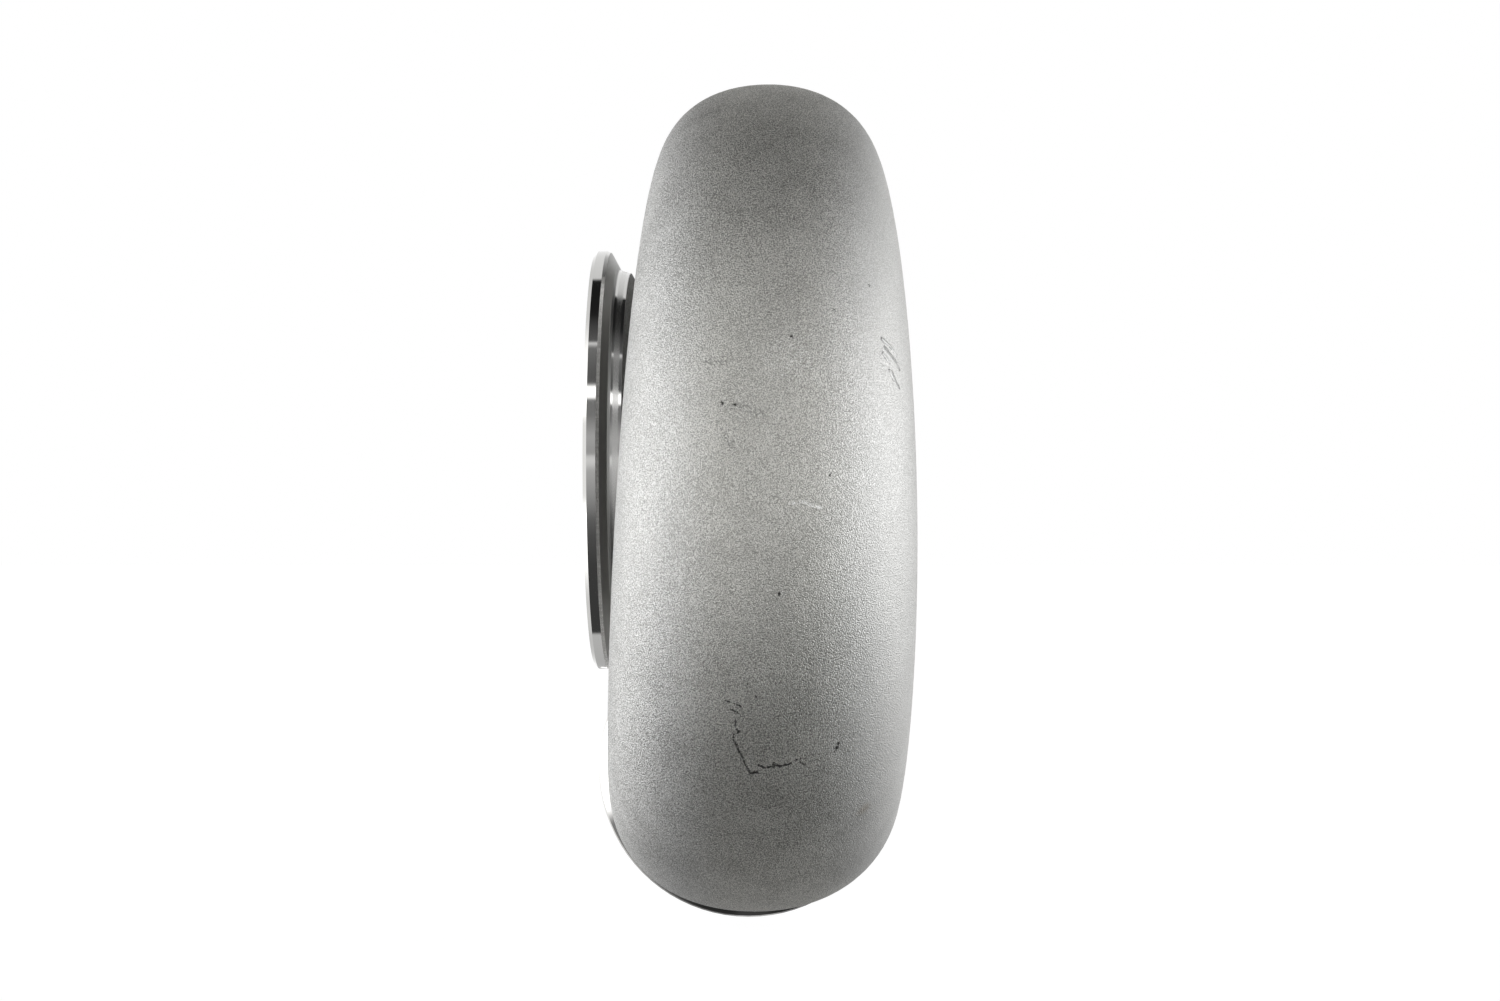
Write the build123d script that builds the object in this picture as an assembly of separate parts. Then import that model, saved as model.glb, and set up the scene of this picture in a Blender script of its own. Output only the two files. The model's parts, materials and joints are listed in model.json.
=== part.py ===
from build123d import *
import math
import os

# Turbine housing of a turbocharger: one stainless casting, machined at its three joints.
# The origin is the centre of the bearing-housing pilot, on the face that the bearing
# housing bolts against. +X is the turbine axis, out of that face, and the exhaust leaves
# along -X. The gas comes in at the bottom, moving along -Y. From there the scroll winds
# toward -Y, over the top and down again. All sizes are in millimetres.

full_turn = 360.0
half_turn = 180.0

# Whole casting
wall = 4.5

# V-band flanges: the outlet's and the inlet's rim, register and cast shoulder
outlet_rim_radius = 45.3
inlet_rim_radius = 35.5
face_land = 5.8
register_depth = 3.0
register_step = 2.9
lead_in = 0.6
rim_chamfer = 0.8
rim_width = 3.4
rim_edge = 0.7
slant_length = 2.1
slant_height = 4.2
slant_fillet = 1.0
band_taper = 0.6
band_end = 7.7
shoulder_length = 1.7
shoulder_sink = 1.0

# Outlet bore and wheel shroud, stepping in from the outlet's register
diffuser_length = 15.4
diffuser_flare = 4.2
throat_length = 2.0
shroud_length = 15.0
shroud_drop = 5.0
slot_width = 11.0
nozzle_depth = 12.6

# Bearing-housing side: back bore, pilot, bolt face and tapped holes
tip_clearance = 0.8
back_wall = 9.0
pilot_step = 3.8
pilot_depth = 5.0
bolt_count = 6
bolt_inset = 8.0
bolt_hole_radius = 3.4
bolt_hole_depth = 9.0
boss_edge = 6.0
boss_thickness = 12.0
boss_taper = 12.0
face_clearance = 0.5

# Hub that carries the scroll, and the cast neck behind the outlet flange
neck_wall = 5.1
neck_taper = 0.9
neck_fillet = 7.5
hub_step = 1.0
hub_wall = 7.0

# Scroll law: crown height, swell of the half width and shift of the centre plane, the
# last two at six stations round the axis and counted from the nozzle slot
scroll_height = 43.5
scroll_exponent = 0.749
widest_share = 0.459
station_angles = (0.0, 60.0, 120.0, 180.0, 270.0, 350.0)
passage_swell = (21.5, 21.3, 17.9, 11.9, 6.5, -1.0)
passage_shift = (-6.5, -3.0, -1.8, -3.4, -3.0, 0.0)
left_fullness = 0.61
right_fullness = 0.59
foot_hold = 0.7
flank_hold = 0.3
shell_foot_rise = 2.5
shell_foot_margin = 1.0
passage_foot_drop = 2.0
passage_foot_inset = 1.0
scroll_end_gap = 8.0
passage_end_gap = 12.0
section_step = 15.0

# Inlet duct
inlet_length = 95.0
inlet_shift = -10.8
inlet_drop = 22.0
inlet_band_step = 0.8
round_foot_angle = 25.0
duct_round_length = 12.0
duct_steps = 4
tongue_y = 12.0
tongue_thickness = 6.5
tongue_step = 0.4
cut_margin = 5.0

# Radii that follow from the sizes above
outlet_register_radius = outlet_rim_radius - face_land
outlet_root_radius = outlet_rim_radius - slant_height
diffuser_radius = outlet_register_radius - register_step
exducer_radius = diffuser_radius - diffuser_flare
inducer_radius = exducer_radius + shroud_drop
slot_radius = inducer_radius + nozzle_depth
back_bore_radius = inducer_radius + tip_clearance
pilot_radius = back_bore_radius + pilot_step
bolt_circle_radius = pilot_radius + bolt_inset
boss_radius = bolt_circle_radius + boss_edge
neck_radius = exducer_radius + neck_wall
hub_radius = neck_radius + neck_fillet + hub_step
shell_foot_radius = neck_radius + shell_foot_rise
inlet_register_radius = inlet_rim_radius - face_land
inlet_bore_radius = inlet_register_radius - register_step
inlet_duct_radius = inlet_bore_radius + wall
inlet_root_radius = inlet_duct_radius + inlet_band_step

# Places that follow from the sizes above
slot_right_x = -pilot_depth - back_wall
slot_left_x = slot_right_x - slot_width
slot_middle_x = (slot_left_x + slot_right_x) / 2.0
shroud_end_x = slot_left_x - shroud_length
diffuser_start_x = shroud_end_x - throat_length
register_x = diffuser_start_x - diffuser_length
outlet_face_x = register_x - register_depth
hub_left_x = slot_left_x - hub_wall
inlet_x = slot_middle_x + inlet_shift
inlet_z = -slot_radius - inlet_drop


def blend(values, angle):
    """Smooth curve through the station values (Lagrange's polynomial)."""
    total = 0.0
    for i, value in enumerate(values):
        weight = 1.0
        for j, station in enumerate(station_angles):
            if j != i:
                weight *= (angle - station) / (station_angles[i] - station)
        total += value * weight
    return total


def flank(foot, widest):
    """S-shaped side of a section from its foot out to its widest point."""
    (foot_x, foot_r), (wide_x, wide_r) = foot, widest
    rise = wide_r - foot_r
    return [foot, (foot_x, foot_r + foot_hold * rise), (wide_x, wide_r - flank_hold * rise)]


def scroll_outline(angle, skin, foot_left, foot_right, foot_radius):
    """Control points (x, radius) of a scroll section, drawn skin outside the gas passage."""
    share = 1.0 - angle / full_turn
    passage_crown = slot_radius + scroll_height * share**scroll_exponent
    crown = passage_crown + skin
    widest = slot_radius + widest_share * (passage_crown - slot_radius)
    reach = slot_width / 2.0 + blend(passage_swell, angle) + skin
    centre = slot_middle_x + blend(passage_shift, angle)
    left, right, dome = centre - reach, centre + reach, crown - widest
    up_left = flank((foot_left, foot_radius), (left, widest))
    over_left = [(left, widest), (left, widest + left_fullness * dome),
                 (centre - left_fullness * reach, crown)]
    over_right = [(centre, crown), (centre + right_fullness * reach, crown),
                  (right, widest + right_fullness * dome)]
    down_right = [(right, widest)] + flank((foot_right, foot_radius), (right, widest))[:0:-1]
    third = (foot_right - foot_left) / 3.0
    foot = [(foot_right, foot_radius), (foot_right - third, foot_radius),
            (foot_left + third, foot_radius)]
    return up_left + over_left + over_right + down_right + foot


def round_outline(radius):
    """Control points of a circle round the inlet's axis, split like a scroll section."""
    half_foot = math.radians(round_foot_angle)
    quarter = math.pi / 2.0
    corners = [half_foot - 2.0 * quarter, -quarter, 0.0, quarter, 2.0 * quarter - half_foot,
               2.0 * quarter + half_foot]
    points = []
    for start, end in zip(corners, corners[1:]):
        handle = 4.0 / 3.0 * math.tan((end - start) / 4.0)
        for angle, bend in ((start, 0.0), (start, handle), (end, -handle)):
            x = math.sin(angle) + bend * math.cos(angle)
            depth = math.cos(angle) - bend * math.sin(angle)
            points.append((inlet_x + radius * x, radius * depth - inlet_z))
    return points


def mixed(first, second, share):
    """Outline part of the way from the first to the second."""
    return [(a + share * (c - a), b + share * (d - b)) for (a, b), (c, d) in zip(first, second)]


def wire(outline, place):
    """Closed wire of five Bezier curves through an outline's control points."""
    points = [Vector(*place(x, radius)) for x, radius in outline]
    points.append(points[0])
    return Wire([Edge.make_bezier(*points[i:i + 4]) for i in range(0, len(outline), 3)])


def round_axis(angle):
    """Placing of a section that stands in the half plane at an angle round the axis."""
    turn = math.radians(angle)
    return lambda x, radius: (x, -radius * math.sin(turn), -radius * math.cos(turn))


def across_duct(y):
    """Placing of a section that stands square across the inlet duct."""
    return lambda x, radius: (x, y, -radius)


def stations(start, end):
    """Angles from start to end in even steps."""
    count = math.ceil((end - start) / section_step)
    return [start + (end - start) * i / count for i in range(count + 1)]


def shell_outline(angle):
    """Outer skin of the scroll."""
    return scroll_outline(angle, wall, hub_left_x - shell_foot_margin,
                          -shell_foot_margin, shell_foot_radius)


def passage_outline(angle):
    """Gas passage of the scroll, whose foot lies inside the nozzle slot."""
    return scroll_outline(angle, 0.0, slot_left_x + passage_foot_inset,
                          slot_right_x - passage_foot_inset, slot_radius - passage_foot_drop)


def duct_outline():
    """Gas passage just before the tongue, which raises its foot and narrows it a little."""
    return scroll_outline(0.0, -tongue_step, slot_left_x + passage_foot_inset,
                          slot_right_x - passage_foot_inset, slot_radius + tongue_thickness)


def duct_wires(scroll, circle, start_y):
    """Sections from the round mouth of the inlet to the scroll's outline at start_y."""
    end_y = inlet_length - duct_round_length
    shares = [step / duct_steps for step in range(duct_steps, -1, -1)]
    return [wire(mixed(scroll, circle, share * share * (3.0 - 2.0 * share)),
                 across_duct(start_y + share * (end_y - start_y))) for share in shares]


def casting_shell():
    """Scroll skin and inlet duct, solid."""
    circle = round_outline(inlet_duct_radius)
    mouth = [wire(circle, across_duct(inlet_length - band_end))]
    duct = duct_wires(shell_outline(0.0), circle, 0.0)
    first = [wire(shell_outline(a), round_axis(a)) for a in stations(0.0, half_turn)[1:]]
    thin_end = full_turn - scroll_end_gap
    second = [wire(shell_outline(a), round_axis(a)) for a in stations(half_turn, thin_end)]
    return Solid.make_loft(mouth + duct + first) + Solid.make_loft(second)


def gas_passage():
    """Scroll passage and inlet duct, to be cut out."""
    circle = round_outline(inlet_bore_radius)
    duct = [wire(circle, across_duct(inlet_length + cut_margin))]
    duct += duct_wires(duct_outline(), circle, tongue_y)
    first = [wire(passage_outline(0.0), across_duct(tongue_y))]
    first += [wire(passage_outline(a), round_axis(a)) for a in stations(0.0, half_turn)]
    thin_end = full_turn - passage_end_gap
    second = [wire(passage_outline(a), round_axis(a)) for a in stations(half_turn, thin_end)]
    return [Solid.make_loft(duct), Solid.make_loft(first), Solid.make_loft(second)]


def turned(lines):
    """Solid turned about the turbine axis from a closed (x, radius) profile."""
    return revolve(make_face(lines), Axis.X)


def vband_flange(rim_radius, root, neck):
    """Solid flange turned about X, its face at x = 0 and its shoulder sunk into the neck."""
    slant_foot = (rim_width + slant_length, root)
    shoulder_end = band_end + shoulder_length
    profile = make_face(Polyline(
        (0, 0), (0, rim_radius - rim_chamfer), (rim_chamfer, rim_radius),
        (rim_width - rim_edge, rim_radius), (rim_width, rim_radius - rim_edge / 2), slant_foot,
        (band_end, root - band_taper), (shoulder_end, neck - shoulder_sink),
        (shoulder_end, 0), close=True))
    foot = profile.vertices().sort_by_distance(slant_foot)[0]
    return revolve(fillet(foot, slant_fillet), Axis.X)


def hub():
    """Outlet neck, hub and bearing-housing boss, solid."""
    neck_start = outlet_face_x + band_end
    boss_back = -boss_thickness
    fillet_start = hub_left_x - neck_fillet
    fillet_top = neck_radius + neck_fillet
    outline = Polyline(
        (fillet_start, neck_radius), (neck_start, neck_radius + neck_taper), (neck_start, 0),
        (0, 0), (0, boss_radius), (boss_back, boss_radius),
        (boss_back - boss_taper, hub_radius), (hub_left_x, hub_radius), (hub_left_x, fillet_top))
    fillet = RadiusArc((hub_left_x, fillet_top), (fillet_start, neck_radius), neck_fillet)
    return turned(outline + fillet)


def wheel_bore():
    """Pilot, back bore, nozzle slot, shroud, diffuser and outlet register, to be cut out."""
    beyond = outlet_face_x - cut_margin
    outlet_mouth = outlet_register_radius + lead_in
    shroud = EllipticalCenterArc((shroud_end_x, inducer_radius), shroud_length,
                                 inducer_radius - exducer_radius, -90, arc_size=90)
    outline = Polyline(
        (slot_left_x, inducer_radius), (slot_left_x, slot_radius), (slot_right_x, slot_radius),
        (slot_right_x, back_bore_radius), (-pilot_depth, back_bore_radius),
        (-pilot_depth, pilot_radius), (-lead_in, pilot_radius), (0, pilot_radius + lead_in),
        (cut_margin, pilot_radius + lead_in), (cut_margin, 0), (beyond, 0),
        (beyond, outlet_mouth), (outlet_face_x, outlet_mouth),
        (outlet_face_x + lead_in, outlet_register_radius), (register_x, outlet_register_radius),
        (register_x, diffuser_radius), (diffuser_start_x, exducer_radius),
        (shroud_end_x, exducer_radius))
    return turned(outline + shroud)


def face_pocket():
    """Room over the bolt face, where the scroll bulges past it, to be cut out."""
    reach = slot_width + 2.0 * (max(passage_swell) + wall)
    return Pos(reach / 2, 0, 0) * (Rot(Y=90) * Cylinder(boss_radius + face_clearance, reach))


def bolt_holes():
    """Tapped holes of the bearing-housing bolt circle."""
    hole = Rot(Y=90) * Cylinder(bolt_hole_radius, 2 * bolt_hole_depth)
    return [Rot(X=full_turn * i / bolt_count) * Pos(0, 0, bolt_circle_radius) * hole
            for i in range(bolt_count)]


def inlet_register():
    """Register bore of the inlet flange, to be cut out."""
    profile = Polyline(
        (-cut_margin, 0), (-cut_margin, inlet_register_radius + lead_in),
        (0, inlet_register_radius + lead_in), (lead_in, inlet_register_radius),
        (register_depth, inlet_register_radius), (register_depth, 0), close=True)
    return at_inlet(turned(profile))


def at_inlet(shape):
    """Shape drawn on the outlet's axis, moved to the inlet's face and turned to look along +Y."""
    return Pos(inlet_x, inlet_length, inlet_z) * (Rot(Z=-90) * shape)


def turbine_housing():
    """The whole casting."""
    outlet_flange = Pos(outlet_face_x, 0, 0) * vband_flange(
        outlet_rim_radius, outlet_root_radius, neck_radius + neck_taper)
    inlet_flange = at_inlet(vband_flange(inlet_rim_radius, inlet_root_radius, inlet_duct_radius))
    body = hub() + outlet_flange + casting_shell() + inlet_flange
    body -= face_pocket()
    for passage in gas_passage():
        body -= passage
    body -= wheel_bore()
    body -= inlet_register()
    for hole in bolt_holes():
        body -= hole
    return body


os.makedirs("parts", exist_ok=True)
export_step(turbine_housing(), "parts/turbine_housing.step")
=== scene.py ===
import json
import math

import bpy
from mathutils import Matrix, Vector
from mathutils.bvhtree import BVHTree


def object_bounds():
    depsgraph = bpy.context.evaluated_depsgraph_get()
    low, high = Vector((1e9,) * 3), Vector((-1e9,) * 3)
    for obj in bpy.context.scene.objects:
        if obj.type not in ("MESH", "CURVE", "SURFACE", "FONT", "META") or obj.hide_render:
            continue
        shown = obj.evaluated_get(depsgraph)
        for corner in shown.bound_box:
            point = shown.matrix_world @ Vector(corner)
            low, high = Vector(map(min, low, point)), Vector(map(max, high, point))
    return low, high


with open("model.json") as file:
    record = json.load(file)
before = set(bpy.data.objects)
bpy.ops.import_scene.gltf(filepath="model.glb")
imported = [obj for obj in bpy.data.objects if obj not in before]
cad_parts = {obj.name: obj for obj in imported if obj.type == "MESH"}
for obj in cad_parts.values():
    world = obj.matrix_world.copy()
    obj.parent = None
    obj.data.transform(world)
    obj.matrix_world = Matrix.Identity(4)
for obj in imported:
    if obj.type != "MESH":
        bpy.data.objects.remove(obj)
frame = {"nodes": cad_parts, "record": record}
cad_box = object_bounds()

HOUSING = "turbine_housing"
MOUNTS = {m["name"]: m for m in frame["record"]["mounts"]}
OUTLET_X = MOUNTS["outlet_face"]["pos_m"][0]
INLET_Y = MOUNTS["inlet_face"]["pos_m"][1]

# Camera: level, a metre away, turned a little toward the bearing-housing side
PHOTO_WIDTH, PHOTO_HEIGHT = 1500, 1001
AIM = Vector((-0.027, 0.0, -0.0088))
DISTANCE = 1.0
YAW = math.radians(1.8)
SENSOR = 0.036
PIXELS_PER_RADIAN = 4608.0

# Machined stretches, counted back from each flange's face
BAND_LENGTH = 0.0077
BOLT_FACE_RADIUS = 0.0566
WHEEL_BORE_RADIUS = 0.0425
SLOT_RADIUS = 0.0505
SLOT_START, SLOT_END = -0.0253, -0.0137
RIM_RADIUS = 0.048
COLLAR_RADIUS = 0.0425
COLLAR_START, COLLAR_END = 0.0049, 0.0085
STRIPE_START, STRIPE_END = 0.0059, 0.0071
NECK_X = -0.03
NECK_RADIUS = 0.058
EDGE_BLUR = 0.00015
FACING = 0.01
PILOT_FLOOR_X = -0.0052

# Steel tones
DARK_STEEL = (0.26, 0.26, 0.25, 1.0)
LIGHT_STEEL = (0.92, 0.92, 0.91, 1.0)
WARM_TINT = (1.0, 0.99, 0.955, 1.0)
WARM_X, WARM_REACH = -0.0216, 0.022
# Pale steel for the specks and flecks, and for the painted highlight on the crease crests
PALE_STEEL_AND_PAINTED_HIGHLIGHT = (0.95, 0.95, 0.94, 1.0)
# Dark steel for the faint stains, and for the painted shade in the crease valleys and on the neck
STAIN_STEEL_AND_PAINTED_SHADE = (0.1, 0.1, 0.1, 1.0)
BROWN = (0.30, 0.24, 0.17, 1.0)
SOOT = (0.03, 0.03, 0.028, 1.0)
EDGE_TINT = (0.5, 0.5, 0.5, 1.0)
TURNED_STEEL = (0.70, 0.695, 0.68, 1.0)
# Painted shade: darker colour for the outlet flange's slants that face the gap by the scroll
SLANT_PAINTED_SHADE_STEEL = (0.40, 0.40, 0.39, 1.0)
# Share of painted shade on the neck behind the outlet flange
NECK_SHADE = 0.4
CAST_ROUGHNESS = (0.46, 0.52)
TURNED_ROUGHNESS, STRIPE_ROUGHNESS, SLANT_ROUGHNESS = 0.07, 0.2, 0.35
SLANT_FACING = (0.6, 0.85)

# Grain of the casting: noise scales, bump depth, and where its contrast is lowered, as
# (from, to, share at the first, share at the second) by height and by place along the axis
GRAIN_SCALE, WAVE_SCALE, SWELL_SCALE = 4100.0, 2000.0, 90.0
WAVE_SHARE, SWELL_SHARE = 0.28, 0.12
GRAIN_DEPTH = 0.00016
TONE_LOW, TONE_HIGH = 0.35, 0.65
CALM_BY_HEIGHT = (0.02, 0.07, 0.37, 0.0)
CALM_BY_AXIS = (-0.012, 0.002, 0.0, 0.7)
RING_SCALE = 3000.0

# Studio: (degrees up from straight ahead, light level), for strips in the upright plane
# through the camera, the soft light round them, and each side. The levels were set
# until the casting's tones met the photo's, so this is no plain studio.
STRIP_LIGHT = (
    (-180.0, 0.5), (-150.0, 0.52), (-112.0, 0.62), (-110.0, 0.05), (-60.0, 0.06),
    (-42.0, 0.09), (-33.0, 0.14), (-24.0, 0.28), (-6.0, 0.5), (-2.0, 0.8), (1.0, 0.8),
    (3.0, 0.38), (12.0, 0.48), (24.0, 0.21), (33.0, 0.2), (34.0, 2.0), (40.0, 2.0),
    (41.0, 0.08), (50.0, 0.11), (64.0, 0.2), (65.5, 0.9), (66.5, 0.9), (67.5, 0.11),
    (78.0, 0.06), (86.0, 0.014), (116.0, 0.013), (118.0, 0.8), (150.0, 0.86), (180.0, 1.0))
SOFT_LIGHT = (
    (-180.0, 1.3), (-150.0, 0.35), (-112.0, 0.16), (-80.0, 0.03), (-60.0, 0.03),
    (-35.0, 0.26), (-12.0, 0.85), (8.0, 0.62), (28.0, 0.6), (48.0, 0.6), (68.0, 0.33),
    (90.0, 0.05), (108.0, 0.04), (125.0, 0.05), (150.0, 0.5), (180.0, 1.3))
LEFT_LIGHT = (
    (-180.0, 1.3), (-150.0, 1.0), (-120.0, 0.48), (-90.0, 0.18), (-72.0, 0.25), (-59.0, 0.36),
    (-46.0, 0.53), (-34.0, 0.86), (-23.0, 1.14), (-11.0, 1.14), (0.0, 1.02), (11.0, 0.86),
    (23.0, 0.8), (34.0, 0.68), (46.0, 0.62), (60.0, 0.53), (90.0, 0.4), (120.0, 0.6),
    (150.0, 1.0), (180.0, 1.2))
RIGHT_LIGHT = (
    (-180.0, 1.4), (-135.0, 0.42), (-90.0, 0.01), (-75.0, 0.01), (-60.0, 0.03), (-45.0, 0.18),
    (-30.0, 0.43), (-15.0, 0.74), (0.0, 0.93), (15.0, 0.85), (30.0, 0.68), (60.0, 0.28),
    (75.0, 0.18), (90.0, 0.12), (135.0, 0.45), (180.0, 1.4))

# Upright box light of each side: two heights with a level at each, then the heights
# between which it falls and the share that is left
LEFT_BOX = (-0.54, -0.24, 1.75, 2.84, 0.12, 0.36, 0.72)
RIGHT_BOX = (-0.35, 0.12, 1.87, 3.28, 0.3, 0.6, 0.65)
SIDE_CORE = 0.37
SIDE_BACK = 0.9

# How far sideways each of the studio's bands starts and ends
SOFT_REACH, SIDE_REACH = (0.06, 0.14), (0.30, 0.75)
POLE_REACH, CORE_REACH = (0.70, 0.95), (0.955, 0.985)
LEVEL_SCALE = 0.2

# Marks on the casting: points in the photo's pixels, then the half width in metres
DARK_LINES = (
    (((726.1, 700.6), (733.3, 703.1), (740.6, 706.7)), 0.00010),
    (((731.1, 709.4), (737.8, 712.8)), 0.00014),
    (((736.1, 718.9), (734.9, 726.1)), 0.00010),
    (((736.1, 728.9), (739.4, 731.7), (738.3, 733.3)), 0.00010),
    (((733.3, 734.4), (733.7, 740.6), (742.2, 756.7), (745.6, 765.6), (751.1, 773.3)), 0.00013),
    (((750.2, 773.3), (757.2, 772.3)), 0.00027),
    (((758.9, 765.0), (763.9, 767.8), (774.0, 766.5)), 0.00017),
    (((773.9, 765.0), (780.0, 766.1), (790.0, 763.9)), 0.00024),
    (((800.6, 762.8), (805.0, 764.4)), 0.00013))
DARK_DOTS = (
    ((796.7, 759.4), 0.00015), ((800.3, 758.7), 0.00013), ((805.3, 758.3), 0.00012),
    ((747.8, 683.9), 0.00015), ((756.1, 696.4), 0.00022), ((838.6, 743.5), 0.00032),
    ((836.8, 747.5), 0.00042), ((834.2, 751.5), 0.00012),
    ((791.5, 336.0), 0.00022), ((833.5, 309.0), 0.00016), ((722.0, 403.0), 0.00022),
    ((735.0, 405.0), 0.00022), ((869.0, 285.0), 0.00022), ((779.0, 594.0), 0.00022),
    ((830.0, 475.0), 0.00018), ((774.5, 762.5), 0.00018))
# Crest lines of the creases, in the photo's pixels: besides their bump, they carry a painted
# highlight
CRESTS_WITH_PAINTED_HIGHLIGHT = (
    ((881.9, 338.8), (889.7, 345.9), (896.2, 355.0)),
    ((883.0, 353.5), (889.0, 362.0)),
    ((889.7, 370.6), (893.6, 379.7)))
# Valley lines of the creases, in the photo's pixels: besides their bump, they carry painted shade
VALLEYS_WITH_PAINTED_SHADE = (
    ((884.5, 346.6), (891.0, 355.0), (896.9, 362.8), (899.5, 369.3)),
    ((891.7, 371.9), (896.9, 383.6), (898.8, 386.9)))
FAINT_STAINS = (
    ((707.0, 362.0), (728.0, 361.0)),
    ((722.0, 404.0), (745.0, 408.0), (762.0, 414.0)),
    ((722.0, 425.0), (731.0, 446.0)))
PALE_FLECKS = (
    ((790.0, 504.0), (801.0, 501.0), (810.0, 505.0), (822.0, 508.0)),)
STAIN_REACH = 0.0016
FLECK_REACH = 0.0005
CREASE_WIDTH = 0.00045
CREASE_HEIGHT = 0.0003
ROUGH_PATCH = (788.0, 358.0)
ROUGH_PATCH_RADIUS = 0.007
SMUDGE = (864.0, 809.0)
SMUDGE_RADIUS = 0.0025
MARK_WANDER = 0.0002
MARK_BREAKS = 0.0008

# Floor
FLOOR_GAP = 0.001
FLOOR_REACH = 6.0
FLOOR_SHADOW = 0.12
FLOOR_GLOW = 1.08


def camera_axes():
    """Right, up and forward of the camera."""
    forward = Vector((-math.sin(YAW), math.cos(YAW), 0.0))
    up = Vector((0.0, 0.0, 1.0))
    return forward.cross(up), up, forward


def make_camera():
    right, up, forward = camera_axes()
    data = bpy.data.cameras.new("camera")
    data.sensor_width = SENSOR * 1000.0
    data.lens = data.sensor_width * PIXELS_PER_RADIAN / PHOTO_WIDTH
    data.clip_start, data.clip_end = 0.01, 20.0
    camera = bpy.data.objects.new("camera", data)
    camera.location = AIM - forward * DISTANCE
    camera.rotation_euler = (math.pi / 2.0, 0.0, YAW)
    bpy.context.collection.objects.link(camera)
    bpy.context.scene.camera = camera


class Nodes:
    """Short calls for building a node tree."""

    def __init__(self, tree):
        self.tree = tree
        tree.nodes.clear()

    def add(self, kind, inputs=(), **settings):
        node = self.tree.nodes.new(kind)
        for key, value in settings.items():
            setattr(node, key, value)
        for key, value in dict(inputs).items():
            self.put(node.inputs[key], value)
        return node

    def put(self, socket, value):
        if isinstance(value, bpy.types.NodeSocket):
            self.tree.links.new(value, socket)
        else:
            socket.default_value = value

    def math(self, operation, *values, clamp=False):
        inputs = dict(enumerate(values))
        return self.add("ShaderNodeMath", inputs, operation=operation, use_clamp=clamp).outputs[0]

    def vector(self, operation, *values, output=0):
        inputs = dict(enumerate(values))
        return self.add("ShaderNodeVectorMath", inputs, operation=operation).outputs[output]

    def ramp(self, value, low, high, to_low=0.0, to_high=1.0):
        """Smooth step of a value from one level to another."""
        inputs = {"Value": value, "From Min": low, "From Max": high,
                  "To Min": to_low, "To Max": to_high}
        node = self.add("ShaderNodeMapRange", inputs, interpolation_type="SMOOTHSTEP")
        return node.outputs["Result"]

    def noise(self, vector, scale, detail=2.0, roughness=0.5):
        inputs = {"Vector": vector, "Scale": scale, "Detail": detail, "Roughness": roughness}
        return self.add("ShaderNodeTexNoise", inputs).outputs["Fac"]

    def mix(self, share, first, second, blend_type="MIX"):
        inputs = {"Factor": share, 6: first, 7: second}
        node = self.add("ShaderNodeMix", inputs, data_type="RGBA", blend_type=blend_type)
        return node.outputs[2]

    def blend(self, share, first, second):
        inputs = {"Factor": share, 2: first, 3: second}
        return self.add("ShaderNodeMix", inputs, data_type="FLOAT").outputs[0]

    def largest(self, *values):
        result = values[0]
        for value in values[1:]:
            result = self.math("MAXIMUM", result, value)
        return result

    def smallest(self, *values):
        result = values[0]
        for value in values[1:]:
            result = self.math("MINIMUM", result, value)
        return result


def on_housing(tree, pixel):
    """Point of the housing that the camera sees at a pixel of the photo."""
    right, up, forward = camera_axes()
    across = (pixel[0] - PHOTO_WIDTH / 2.0) / PIXELS_PER_RADIAN
    below = (pixel[1] - PHOTO_HEIGHT / 2.0) / PIXELS_PER_RADIAN
    way = (forward + right * across - up * below).normalized()
    return tree.ray_cast(AIM - forward * DISTANCE, way)[0]


def from_line(n, place, start, end):
    """Distance from a straight stretch between two points."""
    along = end - start
    offset = n.vector("SUBTRACT", place, start)
    projected = n.vector("DOT_PRODUCT", offset, along, output=1)
    share = n.math("DIVIDE", projected, along.length_squared, clamp=True)
    foot = n.add("ShaderNodeVectorMath", {0: along, "Scale": share}, operation="SCALE").outputs[0]
    return n.vector("DISTANCE", offset, foot, output=1)


def from_lines(n, place, points):
    """Distance from a row of points joined by straight stretches."""
    return n.smallest(*[from_line(n, place, a, b) for a, b in zip(points, points[1:])])


def dark_marks(n, place, tree):
    """1 on the dark scratches and dots."""
    wander = n.vector("SUBTRACT", n.add("ShaderNodeTexNoise", {
        "Vector": place, "Scale": 2600.0, "Detail": 1.0}).outputs["Color"], (0.5, 0.5, 0.5))
    shift = n.vector("MULTIPLY", wander, (4.0 * MARK_WANDER,) * 3)
    loose = n.vector("ADD", place, shift)
    depths = []
    for pixels, half_width in DARK_LINES:
        points = [on_housing(tree, pixel) for pixel in pixels]
        depths.append(n.math("SUBTRACT", from_lines(n, loose, points), half_width))
    for pixel, radius in DARK_DOTS:
        away = n.vector("DISTANCE", loose, on_housing(tree, pixel), output=1)
        depths.append(n.math("SUBTRACT", away, radius))
    ragged = n.math("MULTIPLY_ADD", n.noise(place, 3600.0, 2.0, 0.6), MARK_BREAKS,
                    -0.5 * MARK_BREAKS)
    return n.ramp(n.math("ADD", n.smallest(*depths), ragged), 0.0, 0.00013, 1.0, 0.0)


def inside(n, value, low, high):
    """1 between two levels, 0 outside them."""
    above = n.ramp(value, low - EDGE_BLUR, low + EDGE_BLUR)
    below = n.ramp(value, high - EDGE_BLUR, high + EDGE_BLUR, 1.0, 0.0)
    return n.math("MULTIPLY", above, below)


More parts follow.
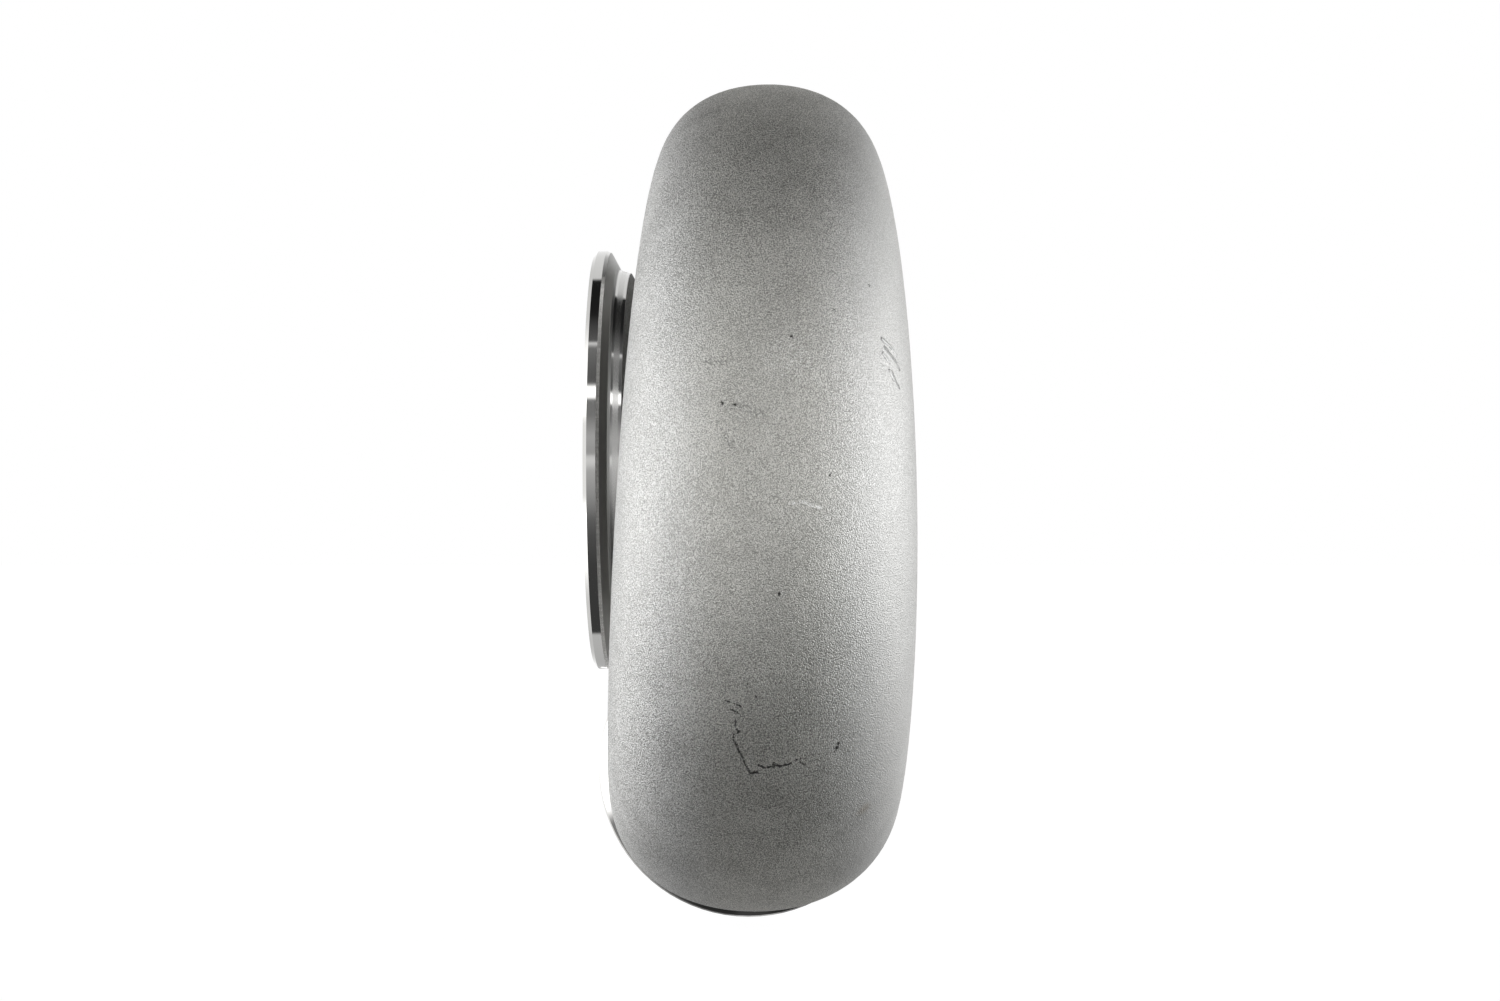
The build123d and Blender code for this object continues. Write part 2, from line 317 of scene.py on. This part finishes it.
def machined_mask(n, place, normal):
    """1 on the turned faces: both flanges, the bolt face and the wheel bore."""
    split = n.add("ShaderNodeSeparateXYZ", {0: place}).outputs
    x, y, z = split[0], split[1], split[2]
    flat = n.vector("MULTIPLY", place, (0.0, 1.0, 1.0))
    radius = n.vector("LENGTH", flat, output=1)
    outward = n.vector("DOT_PRODUCT", flat, normal, output=1)
    inward = n.math("LESS_THAN", outward, -FACING)
    outlet = n.math("MULTIPLY", n.ramp(x, OUTLET_X + BAND_LENGTH - EDGE_BLUR,
                                       OUTLET_X + BAND_LENGTH + EDGE_BLUR, 1.0, 0.0),
                    n.math("LESS_THAN", radius, RIM_RADIUS))
    inlet = n.ramp(y, INLET_Y - BAND_LENGTH - EDGE_BLUR, INLET_Y - BAND_LENGTH + EDGE_BLUR)
    pocket = n.math("MULTIPLY", n.math("GREATER_THAN", x, PILOT_FLOOR_X),
                    n.math("LESS_THAN", radius, BOLT_FACE_RADIUS))
    bore = n.math("MULTIPLY", inward, n.math("LESS_THAN", radius, WHEEL_BORE_RADIUS))
    walls = n.math("MULTIPLY", inside(n, x, SLOT_START, SLOT_END),
                   n.math("LESS_THAN", radius, SLOT_RADIUS))
    return n.largest(outlet, inlet, pocket, bore, walls), radius, split, outward


def cast_shader(n, place, tree, radius, split):
    """Blasted cast surface with its grain, creases and marks, with painted highlight on crease
    crests and painted shade in crease valleys and on the neck.
    """
    grain = n.noise(place, GRAIN_SCALE, 1.0, 0.5)
    waves = n.noise(place, WAVE_SCALE, 1.0, 0.5)
    swell = n.noise(place, SWELL_SCALE, 3.0, 0.55)
    from_patch = n.vector("DISTANCE", place, on_housing(tree, ROUGH_PATCH), output=1)
    patch = n.ramp(from_patch, 0.3 * ROUGH_PATCH_RADIUS, ROUGH_PATCH_RADIUS, 1.5, 1.0)
    depth = n.math("MULTIPLY", patch, GRAIN_DEPTH)
    height = n.math("ADD", grain, n.math("MULTIPLY", waves, WAVE_SHARE))
    grain_bump = n.add("ShaderNodeBump", {"Strength": 1.0, "Distance": depth, "Height": height})
    crest_with_painted_highlight, valley_with_painted_shade, stain, fleck = [n.ramp(n.smallest(*[
        from_lines(n, place, [on_housing(tree, pixel) for pixel in row])
        for row in rows]), 0.0, reach, 1.0, 0.0)
        for rows, reach in ((CRESTS_WITH_PAINTED_HIGHLIGHT, CREASE_WIDTH), (VALLEYS_WITH_PAINTED_SHADE, CREASE_WIDTH),
                            (FAINT_STAINS, STAIN_REACH), (PALE_FLECKS, FLECK_REACH))]
    bump = n.add("ShaderNodeBump", {
        "Strength": 1.0, "Distance": CREASE_HEIGHT, "Normal": grain_bump.outputs[0],
        "Height": n.math("SUBTRACT", crest_with_painted_highlight, valley_with_painted_shade)})

    both = n.math("ADD", n.math("MULTIPLY", grain, 1.0 - SWELL_SHARE),
                  n.math("MULTIPLY", swell, SWELL_SHARE))
    tone = n.ramp(both, TONE_LOW, TONE_HIGH)
    calm = n.largest(n.ramp(n.math("ABSOLUTE", split[2]), *CALM_BY_HEIGHT),
                     n.ramp(split[0], *CALM_BY_AXIS))
    color = n.mix(n.blend(calm, tone, 0.5), DARK_STEEL, LIGHT_STEEL)
    off_crest = n.math("ABSOLUTE", n.math("SUBTRACT", split[0], WARM_X))
    warm = n.ramp(off_crest, 0.3 * WARM_REACH, WARM_REACH, 1.0, 0.0)
    color = n.mix(warm, color, WARM_TINT, "MULTIPLY")
    speck = n.math("MULTIPLY", n.ramp(grain, 0.58, 0.68, 0.0, 0.8),
                   n.ramp(from_patch, 0.3 * ROUGH_PATCH_RADIUS, ROUGH_PATCH_RADIUS, 1.0, 0.0))
    color = n.mix(speck, color, PALE_STEEL_AND_PAINTED_HIGHLIGHT)
    from_smudge = n.vector("DISTANCE", place, on_housing(tree, SMUDGE), output=1)
    smudge = n.ramp(from_smudge, 0.2 * SMUDGE_RADIUS, SMUDGE_RADIUS, 0.35, 0.0)
    color = n.mix(smudge, color, BROWN)
    stain = n.math("MULTIPLY", stain, n.ramp(waves, 0.45, 0.6, 0.0, 0.45))
    color = n.mix(stain, color, STAIN_STEEL_AND_PAINTED_SHADE)
    fleck = n.math("MULTIPLY", fleck, n.ramp(waves, 0.42, 0.55))
    color = n.mix(fleck, color, PALE_STEEL_AND_PAINTED_HIGHLIGHT)
    # Painted highlight: the crease crests are lightened in colour
    color = n.mix(n.math("MULTIPLY", crest_with_painted_highlight, 0.85), color, PALE_STEEL_AND_PAINTED_HIGHLIGHT)
    # Painted shade: the crease valleys are darkened in colour
    color = n.mix(n.math("MULTIPLY", valley_with_painted_shade, 0.15), color, STAIN_STEEL_AND_PAINTED_SHADE)
    # Painted shade: the casting is darkened on the neck behind the outlet flange, where the recess
    # lies in shade
    neck_painted_shade = n.math("MULTIPLY", n.ramp(radius, SLOT_RADIUS, NECK_RADIUS, NECK_SHADE, 0.0),
                  n.math("LESS_THAN", split[0], NECK_X))
    color = n.mix(neck_painted_shade, color, STAIN_STEEL_AND_PAINTED_SHADE)
    marks = dark_marks(n, place, tree)
    color = n.mix(n.math("MULTIPLY", marks, 0.9), color, SOOT)
    return n.add("ShaderNodeBsdfPrincipled", {
        "Base Color": color, "Metallic": 1.0, "Roughness": n.blend(swell, *CAST_ROUGHNESS),
        "Specular Tint": EDGE_TINT, "Normal": bump.outputs[0]})


def turned_shader(n, place, normal, radius, split, outward):
    """Turned surface with fine rings, rougher slants darkened with painted shade, and a duller
    stripe round the outlet's collar.
    """
    ring_place = n.add("ShaderNodeCombineXYZ", {0: n.math("ADD", radius, split[0])}).outputs[0]
    rings = n.noise(ring_place, RING_SCALE, 2.0, 0.5)
    round_axis = n.vector("NORMALIZE", n.vector("MULTIPLY", place, (0.0, 1.0, 1.0)))
    near_axis = n.math("MULTIPLY", n.math("LESS_THAN", radius, COLLAR_RADIUS),
                       n.math("GREATER_THAN", outward, FACING))
    collar = n.math("MULTIPLY", near_axis,
                    inside(n, split[0], OUTLET_X + COLLAR_START, OUTLET_X + COLLAR_END))
    lie = n.add("ShaderNodeMix", {"Factor": collar, 4: normal, 5: round_axis},
                data_type="VECTOR").outputs[1]
    bump = n.add("ShaderNodeBump", {"Strength": 0.1, "Distance": 0.00001, "Height": rings,
                                    "Normal": lie})
    stripe = n.math("MULTIPLY", near_axis,
                    inside(n, split[0], OUTLET_X + STRIPE_START, OUTLET_X + STRIPE_END))
    along = n.add("ShaderNodeSeparateXYZ", {0: normal}).outputs[0]
    # Painted shade: turned faces on the outlet side that slope toward the scroll get the darker
    # slant colour; they are also rougher
    slant_with_painted_shade = n.math("MULTIPLY", n.ramp(along, *SLANT_FACING),
                   n.math("LESS_THAN", split[0], NECK_X))
    color = n.mix(slant_with_painted_shade, TURNED_STEEL, SLANT_PAINTED_SHADE_STEEL)
    rough = n.largest(n.blend(stripe, TURNED_ROUGHNESS, STRIPE_ROUGHNESS),
                      n.math("MULTIPLY", slant_with_painted_shade, SLANT_ROUGHNESS))
    return n.add("ShaderNodeBsdfPrincipled", {
        "Base Color": color, "Metallic": 1.0, "Roughness": rough, "Normal": bump.outputs[0]})


def housing_material(tree):
    """Cast stainless steel, with turned faces where the part is machined."""
    material = bpy.data.materials.new("cast_steel")
    material.use_nodes = True
    n = Nodes(material.node_tree)
    place = n.add("ShaderNodeTexCoord").outputs["Object"]
    normal = n.add("ShaderNodeNewGeometry").outputs["Normal"]
    machined, radius, split, outward = machined_mask(n, place, normal)
    cast = cast_shader(n, place, tree, radius, split)
    turned = turned_shader(n, place, normal, radius, split, outward)
    both = n.add("ShaderNodeMixShader", {0: machined, 1: cast.outputs[0], 2: turned.outputs[0]})
    n.add("ShaderNodeOutputMaterial", {"Surface": both.outputs[0]})
    return material


def light_ramp(n, turn, light):
    """Light level at an angle, from a row of (degrees, level)."""
    ramp = n.add("ShaderNodeValToRGB", {0: turn})
    ramp.color_ramp.interpolation = "LINEAR"
    stops = ramp.color_ramp.elements
    places = [(angle + 180.0) / 360.0 for angle, level in light]
    stops[0].position, stops[1].position = places[0], places[-1]
    for place in places[1:-1]:
        stops.new(place)
    for stop, (angle, level) in zip(stops, light):
        stop.color = [level * LEVEL_SCALE] * 3 + [1.0]
    return n.math("DIVIDE", ramp.outputs[0], LEVEL_SCALE)


def studio_level(n, way):
    """Light that comes from each direction of the studio."""
    split = n.add("ShaderNodeSeparateXYZ", {0: way}).outputs
    x, y, z = split[0], split[1], split[2]
    height = n.math("ARCTAN2", z, n.math("MULTIPLY", y, -1.0))
    turn = n.math("MULTIPLY_ADD", height, 0.5 / math.pi, 0.5)
    across = n.math("ABSOLUTE", x)
    middle = n.blend(n.ramp(across, *SOFT_REACH), light_ramp(n, turn, STRIP_LIGHT),
                     light_ramp(n, turn, SOFT_LIGHT))
    side, pole = n.ramp(across, *SIDE_REACH), n.ramp(across, *POLE_REACH)
    low_front = n.math("MULTIPLY", n.ramp(z, -0.42, -0.26, 0.9, 0.0),
                       n.ramp(y, -0.1, 0.15, 1.0, 0.0))
    core = n.math("MULTIPLY", n.ramp(across, *CORE_REACH, 1.0, SIDE_CORE),
                  n.ramp(y, 0.1, 0.5, 1.0, SIDE_BACK))
    left_box, right_box = [
        n.math("MULTIPLY", core, n.math("MULTIPLY", n.ramp(z, foot, middle_z, low, high),
                                        n.ramp(z, bend, top, 1.0, fall)))
        for foot, middle_z, low, high, bend, top, fall in (LEFT_BOX, RIGHT_BOX)]
    left_box = n.math("MULTIPLY", left_box, n.math("SUBTRACT", 1.0, low_front))
    left = n.blend(pole, light_ramp(n, turn, LEFT_LIGHT), left_box)
    right = n.blend(pole, light_ramp(n, turn, RIGHT_LIGHT), right_box)
    return n.blend(side, middle, n.blend(n.math("GREATER_THAN", x, 0.0), left, right))


def make_world():
    """Studio round the object, which the camera sees as white."""
    world = bpy.data.worlds.new("studio")
    bpy.context.scene.world = world
    world.use_nodes = True
    n = Nodes(world.node_tree)
    way = n.add("ShaderNodeTexCoord").outputs["Generated"]
    level = studio_level(n, way)
    seen = n.add("ShaderNodeLightPath").outputs["Is Camera Ray"]
    background = n.add("ShaderNodeBackground", {"Color": (1.0, 1.0, 1.0, 1.0),
                                                "Strength": n.blend(seen, level, 1.0)})
    n.add("ShaderNodeOutputWorld", {"Surface": background.outputs[0]})


def make_floor():
    """Pale floor just under the housing, with a faint shadow."""
    low = cad_box[0][2] - FLOOR_GAP
    mesh = bpy.data.meshes.new("floor")
    corners = [(-FLOOR_REACH, -FLOOR_REACH), (FLOOR_REACH, -FLOOR_REACH),
               (FLOOR_REACH, FLOOR_REACH), (-FLOOR_REACH, FLOOR_REACH)]
    mesh.from_pydata([(x, y, low) for x, y in corners], [], [(0, 1, 2, 3)])
    floor = bpy.data.objects.new("floor", mesh)
    bpy.context.collection.objects.link(floor)
    for ray in ("visible_diffuse", "visible_glossy", "visible_shadow"):
        setattr(floor, ray, False)
    material = bpy.data.materials.new("floor")
    material.use_nodes = True
    n = Nodes(material.node_tree)
    glow = n.add("ShaderNodeEmission", {"Color": (1.0, 1.0, 1.0, 1.0), "Strength": FLOOR_GLOW})
    matt = n.add("ShaderNodeBsdfDiffuse", {"Color": (1.0, 1.0, 1.0, 1.0)})
    both = n.add("ShaderNodeMixShader", {0: FLOOR_SHADOW, 1: glow.outputs[0],
                                         2: matt.outputs[0]})
    n.add("ShaderNodeOutputMaterial", {"Surface": both.outputs[0]})
    mesh.materials.append(material)


def dress_housing():
    housing = frame["nodes"][HOUSING]
    housing.data.materials.clear()
    corners = [vertex.co for vertex in housing.data.vertices]
    faces = [polygon.vertices for polygon in housing.data.polygons]
    tree = BVHTree.FromPolygons(corners, faces)
    housing.data.materials.append(housing_material(tree))
    for polygon in housing.data.polygons:
        polygon.material_index = 0


bpy.context.scene.view_settings.view_transform = "Standard"
make_camera()
make_world()
make_floor()
dress_housing()
